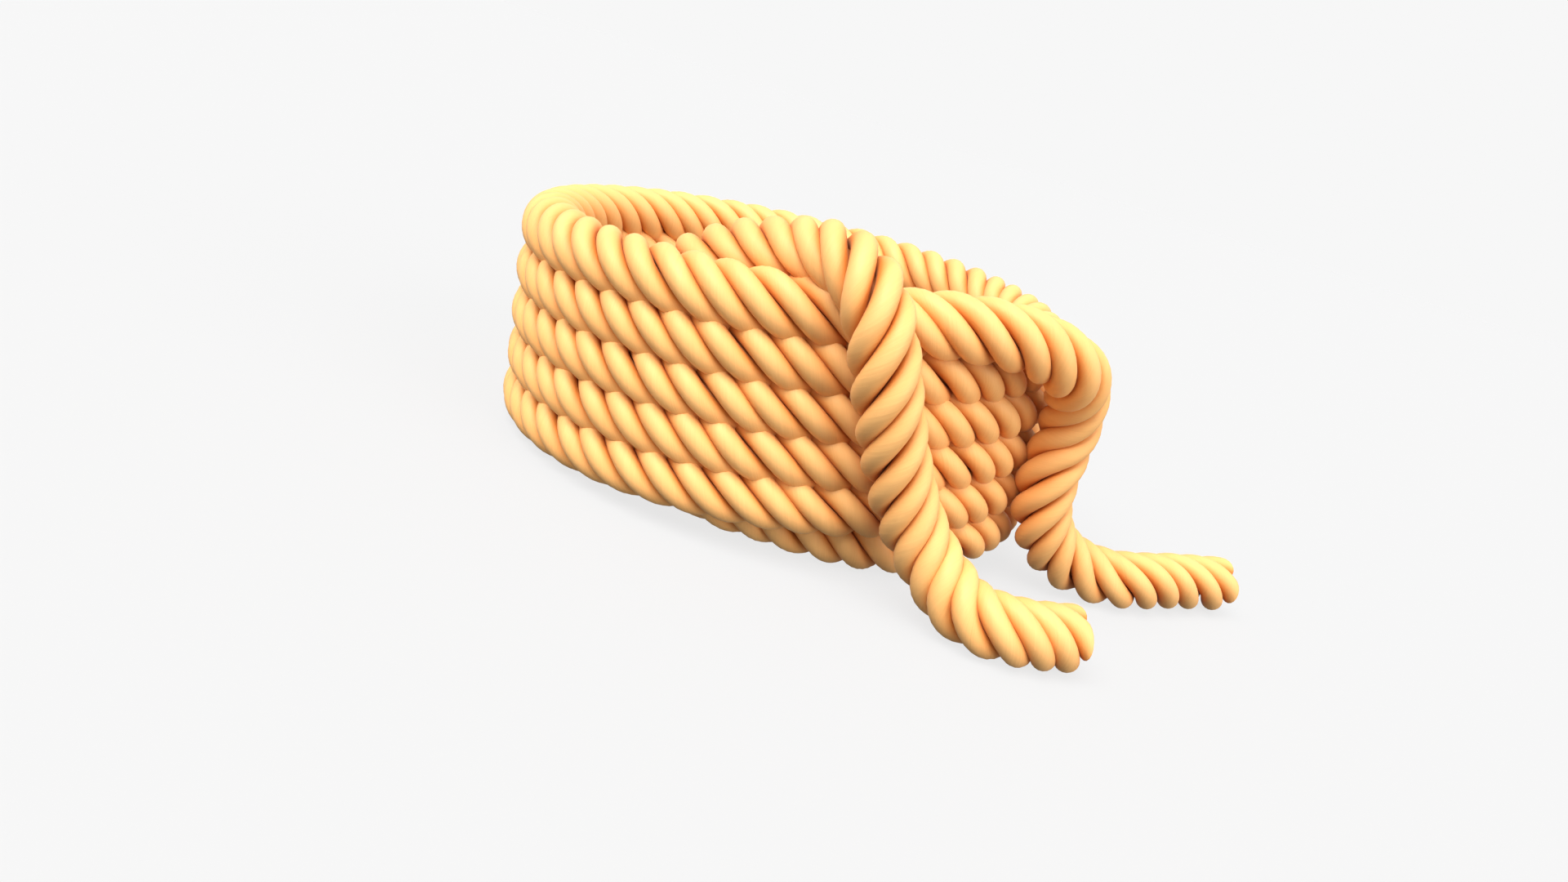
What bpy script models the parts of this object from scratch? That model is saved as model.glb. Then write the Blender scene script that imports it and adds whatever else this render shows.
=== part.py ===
"""Coiled dock line.

A laid rope of 20 mm nominal diameter, wound as a single-wall oval coil of almost five turns.
The turns lie on each other and the stack leans a little. Its inside end comes up inside the
wall, hangs over the rim and runs out in front. Its outside end leaves the top turn and runs
out to the right. Units are metres and +Z is up. The coil stands on the plane z = 0.
"""

import bmesh
import bpy
import numpy as np
from math import cos, pi, radians, sin
from mathutils import Euler, Vector

# The rope
ROPE_RADIUS = 0.010          # nominal radius of the rope's own solids
LIE_HEIGHT = 0.012           # height of the rope's centre where its strands lie on the ground
GAP = 0.0020                 # clear space between the face of the coil and the rope that leaves it

# The coil
COIL_CENTRE = Vector((-0.0480, 0.0145, 0.0))
HALF_LENGTH = 0.102          # of the oval that a turn's centre follows, along X
HALF_WIDTH = 0.0908          # of the same oval, along Y
PITCH = 0.0171               # rise of one turn along the leaning axis
LEAN = Euler((radians(2.6), radians(-6.0), 0.0)).to_matrix()
BASE_OFFSET = Vector((0.0012, 0.0006, 0.0))
START_HEIGHT = 0.0119        # of the first turn's centre, measured along the leaning axis
START_ANGLE = 312.0          # degrees, counterclockwise from +X seen from above
END_ANGLE = 2085.0

# Where the lowest turns drop to the ground at the back, in degrees round the oval
SETTLE_FROM = 315.0
SETTLE_FULL = 395.0
SETTLE_EASE = 500.0
SETTLE_TO = 550.0
SETTLE_TURNS = 4.0           # turns above this one keep their place

# The solid of the coil
STATIONS = 72                # sections round the oval
ARC_STEPS = 6                # steps of the rounded rim
FOOT_CHAMFER = 0.003
SEAT_DEPTH = 0.0045          # the rim is lower where the rope leaves over it
SEAT_LENGTH = 30.0           # degrees
DIP_DEPTH = 0.0035           # and where the inside end crosses it, next to the top turn's end
DIP_FROM = 2035.0            # degrees
DIP_FULL = 2060.0
STEP_SHARE = 0.0005          # share of the turn taken by the step where the top turn stops

# Routes of the rope's ends, from the coil's centre
INSIDE_ROUTE = (
    (-0.030, -0.065, 0.012), (-0.050, -0.054, 0.016), (-0.066, -0.042, 0.031), (-0.070, -0.038, 0.049),
    (-0.065, -0.040, 0.065), (-0.056, -0.047, 0.079), (-0.045, -0.057, 0.090), (-0.034, -0.066, 0.098),
    (-0.024, -0.074, 0.103), (-0.014, -0.082, 0.107), (-0.005, -0.091, 0.110), (0.004, -0.102, 0.110),
    (0.012, -0.111, 0.103), (0.019, -0.114, 0.090), (0.026, -0.113, 0.074), (0.034, -0.110, 0.058),
    (0.043, -0.107, 0.042), (0.053, -0.106, 0.029), (0.064, -0.110, 0.019), (0.075, -0.117, 0.0125),
    (0.085, -0.120, 0.012), (0.096, -0.119, 0.012), (0.107, -0.115, 0.012), (0.114, -0.112, 0.012),
)
OUTSIDE_ROUTE = (
    (0.047, -0.088, 0.100), (0.073, -0.083, 0.101), (0.092, -0.075, 0.095), (0.100, -0.063, 0.085),
    (0.104, -0.057, 0.070), (0.104, -0.056, 0.050), (0.109, -0.052, 0.032), (0.121, -0.047, 0.019),
    (0.138, -0.043, 0.0125), (0.153, -0.040, 0.012), (0.168, -0.032, 0.012), (0.185, -0.021, 0.012),
    (0.200, -0.013, 0.012), (0.211, -0.007, 0.012),
)
TUBE_SPACING = 0.012         # between points of a tube
TUBE_BEVEL_RESOLUTION = 4

ROPE_COLOUR = (0.86, 0.47, 0.17, 1.0)


def clear_scene():
    for thing in list(bpy.data.objects):
        bpy.data.objects.remove(thing, do_unlink=True)


def smooth(value, low, high):
    """0 below low, 1 above high, and an S-shaped step between."""
    t = min(max((value - low) / (high - low), 0.0), 1.0)
    return t * t * (3.0 - 2.0 * t)


def free_turn(angle):
    """Centre of the rope at an angle, on the plain leaning helix."""
    turn = radians(angle)
    rise = START_HEIGHT + PITCH * (angle - START_ANGLE) / 360.0
    flat = Vector((HALF_LENGTH * cos(turn), HALF_WIDTH * sin(turn), rise))
    return LEAN @ flat + BASE_OFFSET


def coil_point(angle):
    """Centre of the rope at an angle, with the lowest turns settled on the ground at the back."""
    point = free_turn(angle)
    round_angle = (angle - START_ANGLE) % 360.0 + START_ANGLE
    at_back = smooth(round_angle, SETTLE_FROM, SETTLE_FULL)
    at_back *= 1.0 - smooth(round_angle, SETTLE_EASE, SETTLE_TO)
    share = max(0.0, 1.0 - (angle - START_ANGLE) / 360.0 / SETTLE_TURNS)
    gap_below = max(0.0, free_turn(round_angle).z - LIE_HEIGHT)
    point.z = max(LIE_HEIGHT, point.z - share * at_back * gap_below)
    return point


def outward(angle):
    """Level unit vector that points out of the oval."""
    turn = radians(angle)
    return Vector((cos(turn) / HALF_LENGTH, sin(turn) / HALF_WIDTH, 0.0)).normalized()


def wall_section(angle):
    """Outline of the coil's wall at an angle of its top turn, from the inner foot round to it."""
    low = coil_point((angle - START_ANGLE) % 360.0 + START_ANGLE)
    top = coil_point(angle)
    seat = SEAT_DEPTH * (1.0 - smooth(angle, END_ANGLE - 360.0, END_ANGLE - 360.0 + SEAT_LENGTH))
    dip = DIP_DEPTH * smooth(angle, DIP_FROM, DIP_FULL)
    rim = top.z - seat - dip
    lean = (top - low) / (top.z - low.z)
    outline = [(ROPE_RADIUS - FOOT_CHAMFER, 0.0), (ROPE_RADIUS, FOOT_CHAMFER)]
    for step in range(ARC_STEPS + 1):
        arc = pi * step / ARC_STEPS
        outline.append((ROPE_RADIUS * cos(arc), rim + ROPE_RADIUS * sin(arc)))
    outline += [(-ROPE_RADIUS, FOOT_CHAMFER), (-ROPE_RADIUS + FOOT_CHAMFER, 0.0)]
    section = []
    for across, height in outline:
        centre = low + lean * (height - low.z)
        section.append(Vector((centre.x, centre.y, height)) + outward(angle) * across + COIL_CENTRE)
    return section


def make_coil(collection, material):
    """The outer shape of all the turns: a loft round the oval, whose rim follows the top turn."""
    mesh = bpy.data.meshes.new("coil")
    shape = bmesh.new()
    rings = []
    for station in range(STATIONS):
        angle = END_ANGLE - 360.0 * station / (STATIONS - 1) * (1.0 - STEP_SHARE)
        rings.append([shape.verts.new(point) for point in wall_section(angle)])
    for ring, following in zip(rings, rings[1:] + rings[:1]):
        for index in range(len(ring)):
            after = (index + 1) % len(ring)
            shape.faces.new((ring[index], ring[after], following[after], following[index]))
    bmesh.ops.recalc_face_normals(shape, faces=shape.faces)
    shape.to_mesh(mesh)
    shape.free()
    mesh.shade_smooth()
    mesh.set_sharp_from_angle(angle=radians(40.0))
    mesh.materials.append(material)
    coil = bpy.data.objects.new("coil", mesh)
    collection.objects.link(coil)
    return coil


def smooth_route(points, spacing):
    """Points an equal distance apart along one smooth curve through the given points."""
    knots = np.array([tuple(point) for point in points])
    lengths = np.linalg.norm(np.diff(knots, axis=0), axis=1)
    slopes = np.gradient(knots, np.concatenate(([0.0], np.cumsum(lengths))), axis=0)
    dense = []
    for index, length in enumerate(lengths):
        for t in np.linspace(0.0, 1.0, 24, endpoint=False):
            start = (1 + 2 * t) * (1 - t) ** 2 * knots[index] + t * (1 - t) ** 2 * length * slopes[index]
            finish = t * t * (3 - 2 * t) * knots[index + 1] + t * t * (t - 1) * length * slopes[index + 1]
            dense.append(start + finish)
    dense = np.array(dense + [knots[-1]])
    along = np.concatenate(([0.0], np.cumsum(np.linalg.norm(np.diff(dense, axis=0), axis=1))))
    count = max(2, round(along[-1] / spacing) + 1)
    stops = np.linspace(0.0, along[-1], count)
    return [Vector([np.interp(stop, along, dense[:, axis]) for axis in range(3)]) for stop in stops]


def make_tube(name, points, collection, material):
    """A length of rope as a plain tube with closed ends."""
    curve = bpy.data.curves.new(name, "CURVE")
    curve.dimensions = "3D"
    curve.bevel_depth = ROPE_RADIUS
    curve.bevel_resolution = TUBE_BEVEL_RESOLUTION
    curve.use_fill_caps = True
    curve.resolution_u = 1
    curve.render_resolution_u = 0
    spline = curve.splines.new("POLY")
    spline.points.add(len(points) - 1)
    for knot, point in zip(spline.points, points):
        knot.co = (*(point + COIL_CENTRE), 1.0)
    spline.use_smooth = True
    curve.materials.append(material)
    tube = bpy.data.objects.new(name, curve)
    collection.objects.link(tube)
    return tube


def make_inside_end(collection, material):
    """From the foot of the wall, up inside it, over the rim and out along the ground."""
    return make_tube("inside_end", smooth_route(INSIDE_ROUTE, TUBE_SPACING), collection, material)


def make_outside_end(collection, material):
    """From the face where the top turn stops, down outside the wall and out along the ground."""
    last = coil_point(END_ANGLE)
    forward = (coil_point(END_ANGLE) - coil_point(END_ANGLE - 5.0)).normalized()
    route = smooth_route([last + forward * GAP, *OUTSIDE_ROUTE], TUBE_SPACING)
    return make_tube("outside_end", route, collection, material)


def rope_material():
    material = bpy.data.materials.new("rope")
    material.use_nodes = True
    shader = material.node_tree.nodes["Principled BSDF"]
    shader.inputs["Base Color"].default_value = ROPE_COLOUR
    shader.inputs["Roughness"].default_value = 0.55
    shader.inputs["Metallic"].default_value = 0.0
    return material


def main():
    clear_scene()
    collection = bpy.data.collections.new("coiled_dock_line")
    bpy.context.scene.collection.children.link(collection)
    make_coil(collection, rope_material())
    make_inside_end(collection, rope_material())
    make_outside_end(collection, rope_material())


main()
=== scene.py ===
"""Looks of the coiled dock line: one laid rope of four strands, with its camera, light and floor."""

from math import cos, pi, radians, sin

import bpy
import numpy as np
from mathutils import Euler, Matrix, Vector


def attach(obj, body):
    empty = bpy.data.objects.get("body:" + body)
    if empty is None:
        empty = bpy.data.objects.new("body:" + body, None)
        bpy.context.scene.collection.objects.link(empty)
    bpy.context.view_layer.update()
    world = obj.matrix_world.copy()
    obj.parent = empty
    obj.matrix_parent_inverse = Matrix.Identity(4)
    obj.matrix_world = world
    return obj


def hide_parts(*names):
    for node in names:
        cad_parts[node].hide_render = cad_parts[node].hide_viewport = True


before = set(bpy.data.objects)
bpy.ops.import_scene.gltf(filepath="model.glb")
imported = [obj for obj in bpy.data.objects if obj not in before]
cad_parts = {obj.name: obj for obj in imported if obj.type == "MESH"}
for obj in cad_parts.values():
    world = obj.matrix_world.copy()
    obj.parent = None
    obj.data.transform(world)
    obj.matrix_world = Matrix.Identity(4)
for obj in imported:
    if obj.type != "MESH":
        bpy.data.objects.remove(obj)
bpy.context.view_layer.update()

# The rope. Lengths are in metres.
STRANDS = 4
STRAND_RADIUS = 0.0044
STRAND_ORBIT = 0.0076         # from the rope's centre to a strand's centre
CORE_RADIUS = 0.0042          # the heart that four strands are laid round
LAY_LENGTH = 0.05104          # one turn of a strand round the rope
INSIDE_TIP_LAY = 1.22         # the inside end's tip is laid this much harder
INSIDE_TIP_LENGTH = 0.050
INSIDE_TIP_EASE = 1.4         # the lay is back to normal at this many tip lengths
OUTSIDE_TIP_LAY = 0.86        # the outside end's tip has let go a little
OUTSIDE_TIP_LENGTH = 0.080
OUTSIDE_TIP_EASE = 1.3
LIE_HEIGHT = 0.012            # of the rope's centre where it lies on the floor
STEP = 0.0016                 # between rings of the strands
SOFTEN = 0.0045               # the route is smoothed over about this length
CURVE_POINTS = 24             # between two route points, before they are evened out
SECTION_POINTS = 18           # round a strand
TIP_RINGS = 6                 # in a strand's rounded tip
TIP_START = 0.12              # angle of the tip's smallest ring, in radians
TIP_BULGE = 0.45              # length of a strand's rounded tip, as a share of its radius
CUT_EASE = 0.010              # over this length the strands' sections turn into the plane of the cut
YARN_TWIST_LENGTH = 0.030     # one turn of the yarns inside a strand
CORE_PAINTED_SHADE = 0.8             # the core counts this deep in the rope, which gives it the dark painted shade that falls between the strands
FIBRE_LENGTH = 0.01           # one unit along the fibres, for the material
STRAND_SHIFT = 37.0           # fibre units between strands, so that no two look alike

# Small unevenness: (size, waves per metre in radians, shift from strand to strand)
WANDER = ((0.05, 23.0, 2.1), (0.04, 61.0, 4.7))
SWELL = (0.012, 87.0, 1.3)

# The camera
CAMERA_FROM_COIL = Vector((-0.0286, -0.4436, 0.1552))
CAMERA_DOWN = 17.453          # degrees below level
CAMERA_TURN = -4.621
CAMERA_ROLL = 18.139
CAMERA_LENS = 24.44
CAMERA_SENSOR = 36.0

# The light and the backdrop
KEY_FROM = (-0.45, -0.50, 1.0)
KEY_STRENGTH = 4.7
FILL_FROM = (0.9, -0.7, 0.5)
FILL_STRENGTH = 1.9
LIGHT_FROM_SKY = 0.60
LIGHT_FROM_BELOW = 0.16
LIGHT_ANGLE = 45.0            # degrees across each sun, for soft shadows
FLOOR_TONE = 0.08
FLOOR_GLOW = 0.765
BACKDROP_GLOW = 0.93
STAGE_REACH = 60.0

# The coil, as in the CAD model
COIL_CENTRE = Vector((-0.0480, 0.0145, 0.0))
HALF_LENGTH = 0.102
HALF_WIDTH = 0.0908
PITCH = 0.0171
LEAN = Euler((radians(2.6), radians(-6.0), 0.0)).to_matrix()
BASE_OFFSET = Vector((0.0012, 0.0006, 0.0))
START_HEIGHT = 0.0119
START_ANGLE = 312.0
END_ANGLE = 2085.0
SETTLE_FROM = 315.0
SETTLE_FULL = 395.0
SETTLE_EASE = 500.0
SETTLE_TO = 550.0
SETTLE_TURNS = 4.0
COIL_STEP = 10.0              # degrees between route points on the coil

# The rope's ends, from the coil's centre, as in the CAD model. Most of these points are the
# rounded result of a least-squares fit and not chosen by hand.
INSIDE_ROUTE = (
    (-0.030, -0.065, 0.012), (-0.050, -0.054, 0.016), (-0.066, -0.042, 0.031), (-0.070, -0.038, 0.049),
    (-0.065, -0.040, 0.065), (-0.056, -0.047, 0.079), (-0.045, -0.057, 0.090), (-0.034, -0.066, 0.098),
    (-0.024, -0.074, 0.103), (-0.014, -0.082, 0.107), (-0.005, -0.091, 0.110), (0.004, -0.102, 0.110),
    (0.012, -0.111, 0.103), (0.019, -0.114, 0.090), (0.026, -0.113, 0.074), (0.034, -0.110, 0.058),
    (0.043, -0.107, 0.042), (0.053, -0.106, 0.029), (0.064, -0.110, 0.019), (0.075, -0.117, 0.0125),
    (0.085, -0.120, 0.012), (0.096, -0.119, 0.012), (0.107, -0.115, 0.012), (0.114, -0.112, 0.012),
)
ENTRY_ROUTE = (
    (-0.012, -0.076, 0.012), (0.004, -0.077, 0.012), (0.020, -0.079, 0.012),
    (0.036, -0.077, 0.012), (0.052, -0.073, 0.0125),
)
OUTSIDE_ROUTE = (
    (0.047, -0.088, 0.100), (0.073, -0.083, 0.101), (0.092, -0.075, 0.095), (0.100, -0.063, 0.085),
    (0.104, -0.057, 0.070), (0.104, -0.056, 0.050), (0.109, -0.052, 0.032), (0.121, -0.047, 0.019),
    (0.138, -0.043, 0.0125), (0.153, -0.040, 0.012), (0.168, -0.032, 0.012), (0.185, -0.021, 0.012),
    (0.200, -0.013, 0.012), (0.211, -0.007, 0.012),
)


def smooth(value, low, high):
    """0 below low, 1 above high, and a soft step between them."""
    t = min(max((value - low) / (high - low), 0.0), 1.0)
    return t * t * (3.0 - 2.0 * t)


def free_turn(angle):
    """Centre of the rope at an angle on the leaning coil, before any turn settles."""
    turn = radians(angle)
    rise = START_HEIGHT + PITCH * (angle - START_ANGLE) / 360.0
    flat = Vector((HALF_LENGTH * cos(turn), HALF_WIDTH * sin(turn), rise))
    return LEAN @ flat + BASE_OFFSET


def coil_point(angle):
    """Centre of the rope at an angle, with the lowest turns settled on the ground at the back."""
    point = free_turn(angle)
    round_angle = (angle - START_ANGLE) % 360.0 + START_ANGLE
    at_back = smooth(round_angle, SETTLE_FROM, SETTLE_FULL)
    at_back *= 1.0 - smooth(round_angle, SETTLE_EASE, SETTLE_TO)
    share = max(0.0, 1.0 - (angle - START_ANGLE) / 360.0 / SETTLE_TURNS)
    gap_below = max(0.0, free_turn(round_angle).z - LIE_HEIGHT)
    point.z = max(LIE_HEIGHT, point.z - share * at_back * gap_below)
    return point


TURN_END = np.array(coil_point(END_ANGLE) + COIL_CENTRE)


def smooth_curve(points, spacing):
    """Points an equal distance apart along one smooth curve through the given points."""
    knots = np.array([tuple(point) for point in points])
    lengths = np.linalg.norm(np.diff(knots, axis=0), axis=1)
    slopes = np.gradient(knots, np.concatenate(([0.0], np.cumsum(lengths))), axis=0)
    dense = []
    for index, length in enumerate(lengths):
        for t in np.linspace(0.0, 1.0, CURVE_POINTS, endpoint=False):
            start = ((1 + 2 * t) * (1 - t) ** 2 * knots[index]
                     + t * (1 - t) ** 2 * length * slopes[index])
            finish = (t * t * (3 - 2 * t) * knots[index + 1]
                      + t * t * (t - 1) * length * slopes[index + 1])
            dense.append(start + finish)
    return evenly(np.array(dense + [knots[-1]]), spacing)


def evenly(line, spacing):
    """The same line with its points an equal distance apart."""
    along = np.concatenate(([0.0], np.cumsum(np.linalg.norm(np.diff(line, axis=0), axis=1))))
    stops = np.linspace(0.0, along[-1], round(along[-1] / spacing) + 1)
    return np.stack([np.interp(stops, along, line[:, axis]) for axis in range(3)], axis=1)


def soften(line, width):
    """Rounds the line off with a bell-shaped average; the two ends keep their places."""
    half = int(3 * width / STEP)
    bell = np.exp(-0.5 * (np.arange(-half, half + 1) * STEP / width) ** 2)
    bell /= bell.sum()
    before = 2 * line[0] - line[half:0:-1]
    after = 2 * line[-1] - line[-2:-half - 2:-1]
    padded = np.concatenate((before, line, after))
    return np.stack([np.convolve(padded[:, axis], bell, "valid") for axis in range(3)], axis=1)


def rope_line():
    """The rope's centre from the tip of the inside end to the tip of the outside end."""
    turns = int((END_ANGLE - START_ANGLE) // COIL_STEP)
    wound = [coil_point(END_ANGLE - COIL_STEP * back) for back in range(turns, -1, -1)]
    route = [*INSIDE_ROUTE[::-1], *ENTRY_ROUTE, *wound, *OUTSIDE_ROUTE]
    line = evenly(soften(smooth_curve(route, STEP), SOFTEN), STEP)
    line[:, 2] = np.maximum(line[:, 2], LIE_HEIGHT)
    return line + np.array(COIL_CENTRE)


def carried_frames(line):
    """A tangent and two normals at each point, carried from the top turn's end without turning."""
    tangents = unit(np.gradient(line, axis=0))
    normals = np.zeros_like(line)
    middle = int(np.argmin(np.linalg.norm(line - TURN_END, axis=1)))
    for order in (range(middle, len(line)), range(middle, -1, -1)):
        normal = np.cross(tangents[middle], (0.0, 0.0, 1.0))
        for index in order:
            normal = normal - tangents[index] * np.dot(normal, tangents[index])
            normal /= np.linalg.norm(normal)
            normals[index] = normal
    return tangents, normals, np.cross(tangents, normals)


def unit(rows):
    """Each row at length 1."""
    return rows / np.linalg.norm(rows, axis=1)[:, None]


def lay_turns(line):
    """Turns of the strands round the rope at each point, counted from the top turn's end."""
    along = np.arange(len(line)) * STEP
    rate = np.full(len(line), 1.0 / LAY_LENGTH)
    for distance, length, ease, lay in (
            (along, INSIDE_TIP_LENGTH, INSIDE_TIP_EASE, INSIDE_TIP_LAY),
            (along[-1] - along, OUTSIDE_TIP_LENGTH, OUTSIDE_TIP_EASE, OUTSIDE_TIP_LAY)):
        rate *= np.interp(distance, (0.0, length, ease * length), (lay, lay, 1.0))
    turns = np.cumsum(rate) * STEP
    return turns - turns[np.argmin(np.linalg.norm(line - TURN_END, axis=1))]


def strand_surface(line, frames, number):
    """Vertices of one strand as rings, with each vertex's place in the strand for the material and an
    amount of painted shade that grows towards the rope's inside.

    The number after the last strand is the core.
    """
    tangents, normals, sides = frames
    along = np.arange(len(line)) * STEP
    wander = sum(size * np.sin(along * waves + number * shift) for size, waves, shift in WANDER)
    phase = 2 * pi * (lay_turns(line) + number / STRANDS) + wander
    out = normals * np.cos(phase)[:, None] + sides * np.sin(phase)[:, None]
    is_core = number == STRANDS
    centre = line + out * (0.0 if is_core else STRAND_ORBIT)
    heading = unit(np.gradient(centre, axis=0))
    out = unit(out - heading * np.sum(out * heading, axis=1)[:, None])
    from_end = np.clip(np.minimum(along, along[-1] - along) / CUT_EASE, 0.0, 1.0)[:, None]
    facing = unit(heading * from_end + tangents * (1.0 - from_end))
    facing = unit(facing - out * np.sum(out * facing, axis=1)[:, None])
    side = np.cross(facing, out) / np.sum(facing * heading, axis=1)[:, None]
    size, waves, shift = SWELL
    fat = CORE_RADIUS if is_core else STRAND_RADIUS
    fat = fat * (1.0 + size * np.sin(along * waves + number * shift))
    bulge = STRAND_RADIUS * TIP_BULGE
    rings = [(centre[0] - heading[0] * bulge * cos(turn), out[0], side[0], fat[0] * sin(turn), 0.0)
             for turn in np.linspace(TIP_START, pi / 2, TIP_RINGS, endpoint=False)]
    rings += list(zip(centre, out, side, fat, along))
    rings += [(centre[-1] + heading[-1] * bulge * cos(turn), out[-1], side[-1],
               fat[-1] * sin(turn), along[-1])
              for turn in np.linspace(pi / 2, TIP_START, TIP_RINGS + 1)[1:]]
    angles = np.linspace(0.0, 2 * pi, SECTION_POINTS, endpoint=False)
    points = []
    fibres = []
    painted_shade = []
    for middle, outward, sideways, radius, place in rings:
        round_ring = np.cos(angles)[:, None] * outward + np.sin(angles)[:, None] * sideways
        points.append(middle + radius * round_ring)
        twisted = angles - 2 * pi * place / YARN_TWIST_LENGTH
        length = np.full(len(angles), place / FIBRE_LENGTH)
        fibres.append(np.stack((np.cos(twisted), np.sin(twisted), length), axis=1))
        # Painted shade: 0 on a strand's outer side, 1 on the side facing the rope's centre where its
        # neighbours shade it; the core is set deep in shade.
        painted_shade.append(np.full(len(angles), CORE_PAINTED_SHADE) if is_core else 0.5 - 0.5 * np.cos(angles))
    return np.array(points), np.array(fibres), np.array(painted_shade)


def make_rope(line):
    """All the strands and the core in one mesh, each a closed tube with rounded cut ends."""
    frames = carried_frames(line)
    points = []
    faces = []
    fibres = []
    painted_shade = []
    for number in range(STRANDS + 1):
        rings, fibre, shade_amount = strand_surface(line, frames, number)
        base = sum(len(block) for block in points)
        count, around = rings.shape[:2]
        for ring in range(count - 1):
            for corner in range(around):
                after = (corner + 1) % around
                low = base + ring * around
                high = low + around
                faces.append((low + corner, low + after, high + after, high + corner))
        faces.append(tuple(base + corner for corner in reversed(range(around))))
        faces.append(tuple(base + (count - 1) * around + corner for corner in range(around)))
        points.append(rings.reshape(-1, 3))
        fibres.append(fibre.reshape(-1, 3) + (0.0, 0.0, STRAND_SHIFT * number))
        painted_shade.append(shade_amount.reshape(-1))
    mesh = bpy.data.meshes.new("rope")
    mesh.from_pydata(np.concatenate(points).tolist(), [], faces)
    fibre_layer = mesh.attributes.new("fibre", "FLOAT_VECTOR", "POINT")
    fibre_layer.data.foreach_set("vector", np.concatenate(fibres).ravel())
    painted_shade_layer = mesh.attributes.new("painted_shade", "FLOAT", "POINT")
    painted_shade_layer.data.foreach_set("value", np.concatenate(painted_shade))
    mesh.shade_smooth()
    rope = bpy.data.objects.new("rope", mesh)
    bpy.context.scene.collection.objects.link(rope)
    return rope


def rope_material():
    """Warm laid fibre with painted shade: pale on the outside of each strand, darker and redder
    between strands, where the strands shade each other.
    """
    material = bpy.data.materials.new("laid_rope")
    material.use_nodes = True
    nodes = material.node_tree.nodes
    links = material.node_tree.links
    shader = nodes["Principled BSDF"]
    shader.inputs["Metallic"].default_value = 0.0
    shader.inputs["Specular IOR Level"].default_value = 0.35
    shader.inputs["Sheen Weight"].default_value = 0.12
    shader.inputs["Sheen Roughness"].default_value = 0.45
    shader.inputs["Sheen Tint"].default_value = (1.0, 0.82, 0.55, 1.0)

    fibre = nodes.new("ShaderNodeAttribute")
    fibre.attribute_name = "fibre"
    painted_shade = nodes.new("ShaderNodeAttribute")
    painted_shade.attribute_name = "painted_shade"

    def stretched_noise(scale, detail):
        """Noise drawn out along the fibres."""
        mapping = nodes.new("ShaderNodeMapping")
        mapping.inputs["Scale"].default_value = scale
        links.new(fibre.outputs["Vector"], mapping.inputs["Vector"])
        noise = nodes.new("ShaderNodeTexNoise")
        noise.inputs["Scale"].default_value = 1.0
        noise.inputs["Detail"].default_value = detail
        noise.inputs["Roughness"].default_value = 0.55
        links.new(mapping.outputs["Vector"], noise.inputs["Vector"])
        return noise.outputs["Fac"]

    def ramp(source, stops):
        node = nodes.new("ShaderNodeValToRGB")
        node.color_ramp.elements[0].position = stops[0][0]
        node.color_ramp.elements[0].color = stops[0][1]
        node.color_ramp.elements[1].position = stops[-1][0]
        node.color_ramp.elements[1].color = stops[-1][1]
        for place, colour in stops[1:-1]:
            node.color_ramp.elements.new(place).color = colour
        links.new(source, node.inputs["Fac"])
        return node.outputs["Color"]

    def mix(kind, amount, first, second):
        node = nodes.new("ShaderNodeMix")
        node.data_type = "RGBA"
        node.blend_type = kind
        if isinstance(amount, float):
            node.inputs["Factor"].default_value = amount
        else:
            links.new(amount, node.inputs["Factor"])
        links.new(first, node.inputs[6])
        links.new(second, node.inputs[7])
        return node.outputs[2]

    yarns = stretched_noise((5.0, 5.0, 0.35), 3.0)
    hairs = stretched_noise((22.0, 22.0, 0.9), 4.0)
    patches = stretched_noise((0.6, 0.6, 0.30), 2.0)

    # Painted shade: the base colour darkens from each strand's outer side to where it meets its
    # neighbours and the core.
    body = ramp(painted_shade.outputs["Fac"], (
        (0.00, (0.93, 0.505, 0.180, 1.0)),
        (0.20, (0.91, 0.445, 0.142, 1.0)),
        (0.50, (0.71, 0.235, 0.040, 1.0)),
        (1.00, (0.43, 0.098, 0.014, 1.0)),
    ))
    tone = ramp(patches, ((0.30, (0.90, 0.86, 0.80, 1.0)), (0.70, (1.0, 1.0, 1.0, 1.0))))
    streak = ramp(hairs, ((0.30, (0.88, 0.83, 0.74, 1.0)), (0.65, (1.0, 1.0, 1.0, 1.0))))
    colour = mix("MULTIPLY", 0.55, body, tone)
    colour = mix("MULTIPLY", 0.55, colour, streak)
    links.new(colour, shader.inputs["Base Color"])

    rough = nodes.new("ShaderNodeMapRange")
    rough.inputs["To Min"].default_value = 0.46
    rough.inputs["To Max"].default_value = 0.66
    links.new(hairs, rough.inputs["Value"])
    links.new(rough.outputs["Result"], shader.inputs["Roughness"])

    wide = nodes.new("ShaderNodeBump")
    wide.inputs["Strength"].default_value = 0.22
    wide.inputs["Distance"].default_value = 0.0006
    links.new(yarns, wide.inputs["Height"])
    fine = nodes.new("ShaderNodeBump")
    fine.inputs["Strength"].default_value = 0.18
    fine.inputs["Distance"].default_value = 0.0002
    links.new(hairs, fine.inputs["Height"])
    links.new(wide.outputs["Normal"], fine.inputs["Normal"])
    links.new(fine.outputs["Normal"], shader.inputs["Normal"])
    return material


def make_camera():
    """The camera in front of the coil, a little above it and tilted."""
    camera = bpy.data.objects.new("camera", bpy.data.cameras.new("camera"))
    camera.data.sensor_width = CAMERA_SENSOR
    camera.data.lens = CAMERA_LENS
    camera.data.clip_start = 0.01
    camera.data.clip_end = 100.0
    aim = Euler((radians(90.0 - CAMERA_DOWN), 0.0, radians(CAMERA_TURN))).to_matrix()
    roll = Matrix.Rotation(radians(CAMERA_ROLL), 3, "Z")
    place = Matrix.Translation(COIL_CENTRE + CAMERA_FROM_COIL)
    camera.matrix_world = place @ (aim @ roll).to_4x4()
    bpy.context.scene.collection.objects.link(camera)
    bpy.context.scene.camera = camera


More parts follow.
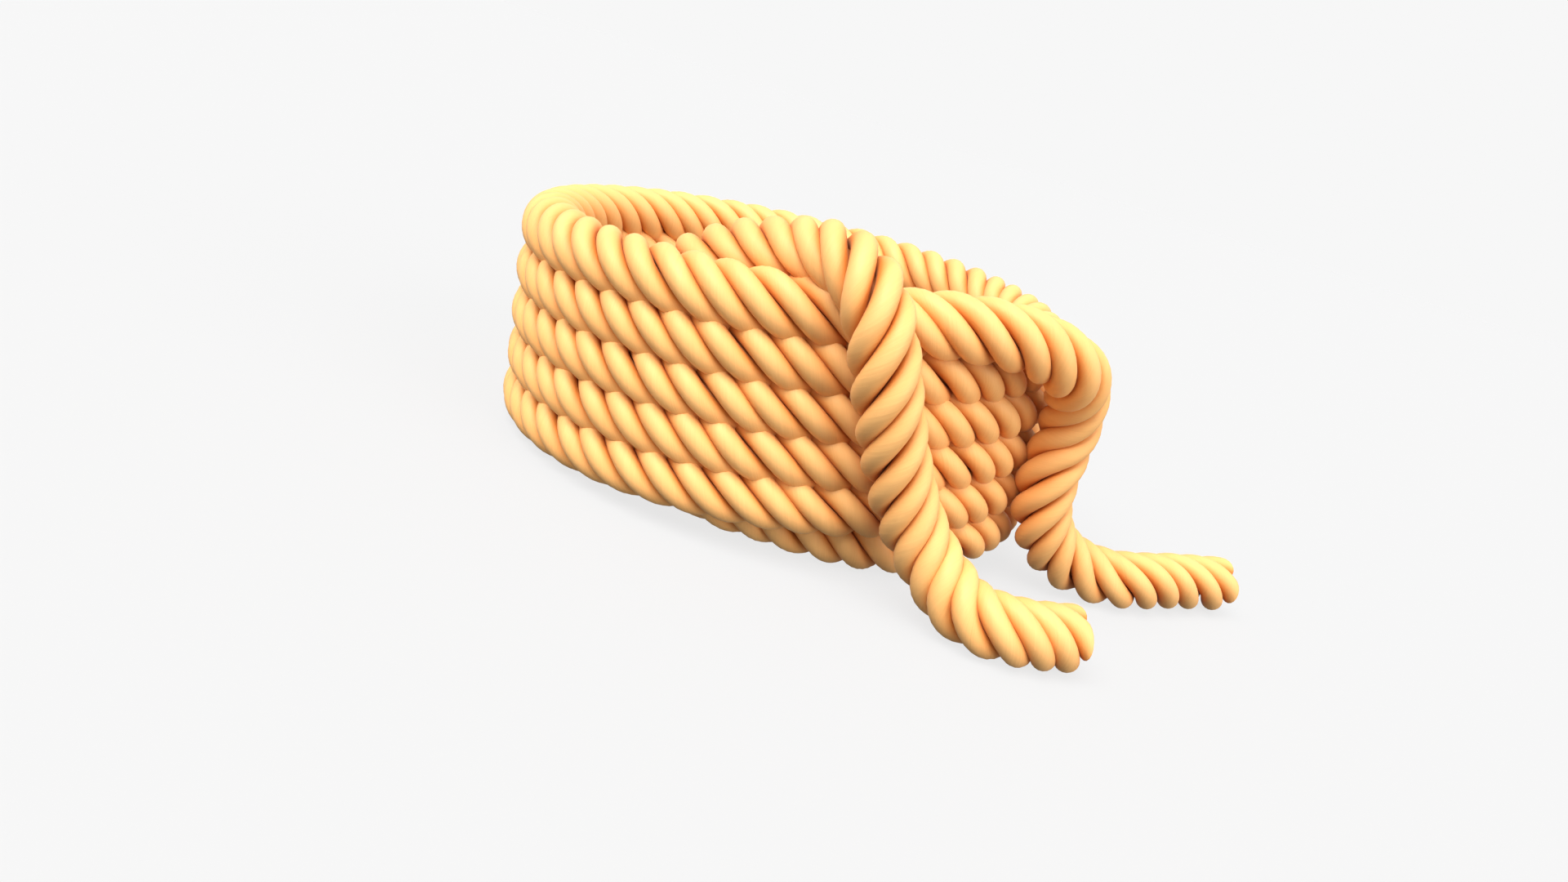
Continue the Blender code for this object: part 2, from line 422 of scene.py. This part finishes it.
def flat_stage(name, corners, faces, colour, glow):
    """A piece of the plain backdrop. It shows to the camera and takes shadows, and lights nothing."""
    mesh = bpy.data.meshes.new(name)
    mesh.from_pydata(corners, [], faces)
    piece = bpy.data.objects.new(name, mesh)
    bpy.context.scene.collection.objects.link(piece)
    material = bpy.data.materials.new(name)
    material.use_nodes = True
    shader = material.node_tree.nodes["Principled BSDF"]
    shader.inputs["Base Color"].default_value = (colour, colour, colour, 1.0)
    shader.inputs["Roughness"].default_value = 1.0
    shader.inputs["Specular IOR Level"].default_value = 0.0
    shader.inputs["Emission Color"].default_value = (1.0, 1.0, 1.0, 1.0)
    shader.inputs["Emission Strength"].default_value = glow
    mesh.materials.append(material)
    piece.visible_diffuse = False
    piece.visible_glossy = False
    piece.visible_shadow = False


def make_stage():
    """A plain pale floor that runs on into a wall of the same tone, and even soft light."""
    reach = STAGE_REACH
    square = [(-reach, -reach), (reach, -reach), (reach, reach), (-reach, reach)]
    low = [(x, y, 0.0) for x, y in square]
    high = [(x, y, reach) for x, y in square]
    flat_stage("floor", low, [(0, 1, 2, 3)], FLOOR_TONE, FLOOR_GLOW)
    walls = [(0, 1, 5, 4), (1, 2, 6, 5), (2, 3, 7, 6), (3, 0, 4, 7)]
    flat_stage("backdrop", low + high, walls, 0.0, BACKDROP_GLOW)

    world = bpy.data.worlds.new("studio")
    world.use_nodes = True
    nodes = world.node_tree.nodes
    links = world.node_tree.links
    place = nodes.new("ShaderNodeTexCoord")
    height = nodes.new("ShaderNodeSeparateXYZ")
    fade = nodes.new("ShaderNodeMapRange")
    fade.inputs["From Min"].default_value = -0.6
    fade.inputs["From Max"].default_value = 0.1
    fade.inputs["To Min"].default_value = LIGHT_FROM_BELOW
    fade.inputs["To Max"].default_value = LIGHT_FROM_SKY
    links.new(place.outputs["Generated"], height.inputs["Vector"])
    links.new(height.outputs["Z"], fade.inputs["Value"])
    links.new(fade.outputs["Result"], nodes["Background"].inputs["Strength"])
    nodes["Background"].inputs["Color"].default_value = (1.0, 1.0, 1.0, 1.0)
    bpy.context.scene.world = world

    for name, strength, towards in (("key", KEY_STRENGTH, KEY_FROM),
                                    ("fill", FILL_STRENGTH, FILL_FROM)):
        sun = bpy.data.objects.new(name, bpy.data.lights.new(name, "SUN"))
        sun.data.energy = strength
        sun.data.angle = radians(LIGHT_ANGLE)
        sun.rotation_euler = Vector(towards).to_track_quat("Z", "Y").to_euler()
        bpy.context.scene.collection.objects.link(sun)
    bpy.context.scene.view_settings.view_transform = "Standard"


make_camera()
make_stage()
LINE = rope_line()
rope = make_rope(LINE)
rope.data.materials.append(rope_material())
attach(rope, "root")
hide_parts("coil", "inside_end", "outside_end")
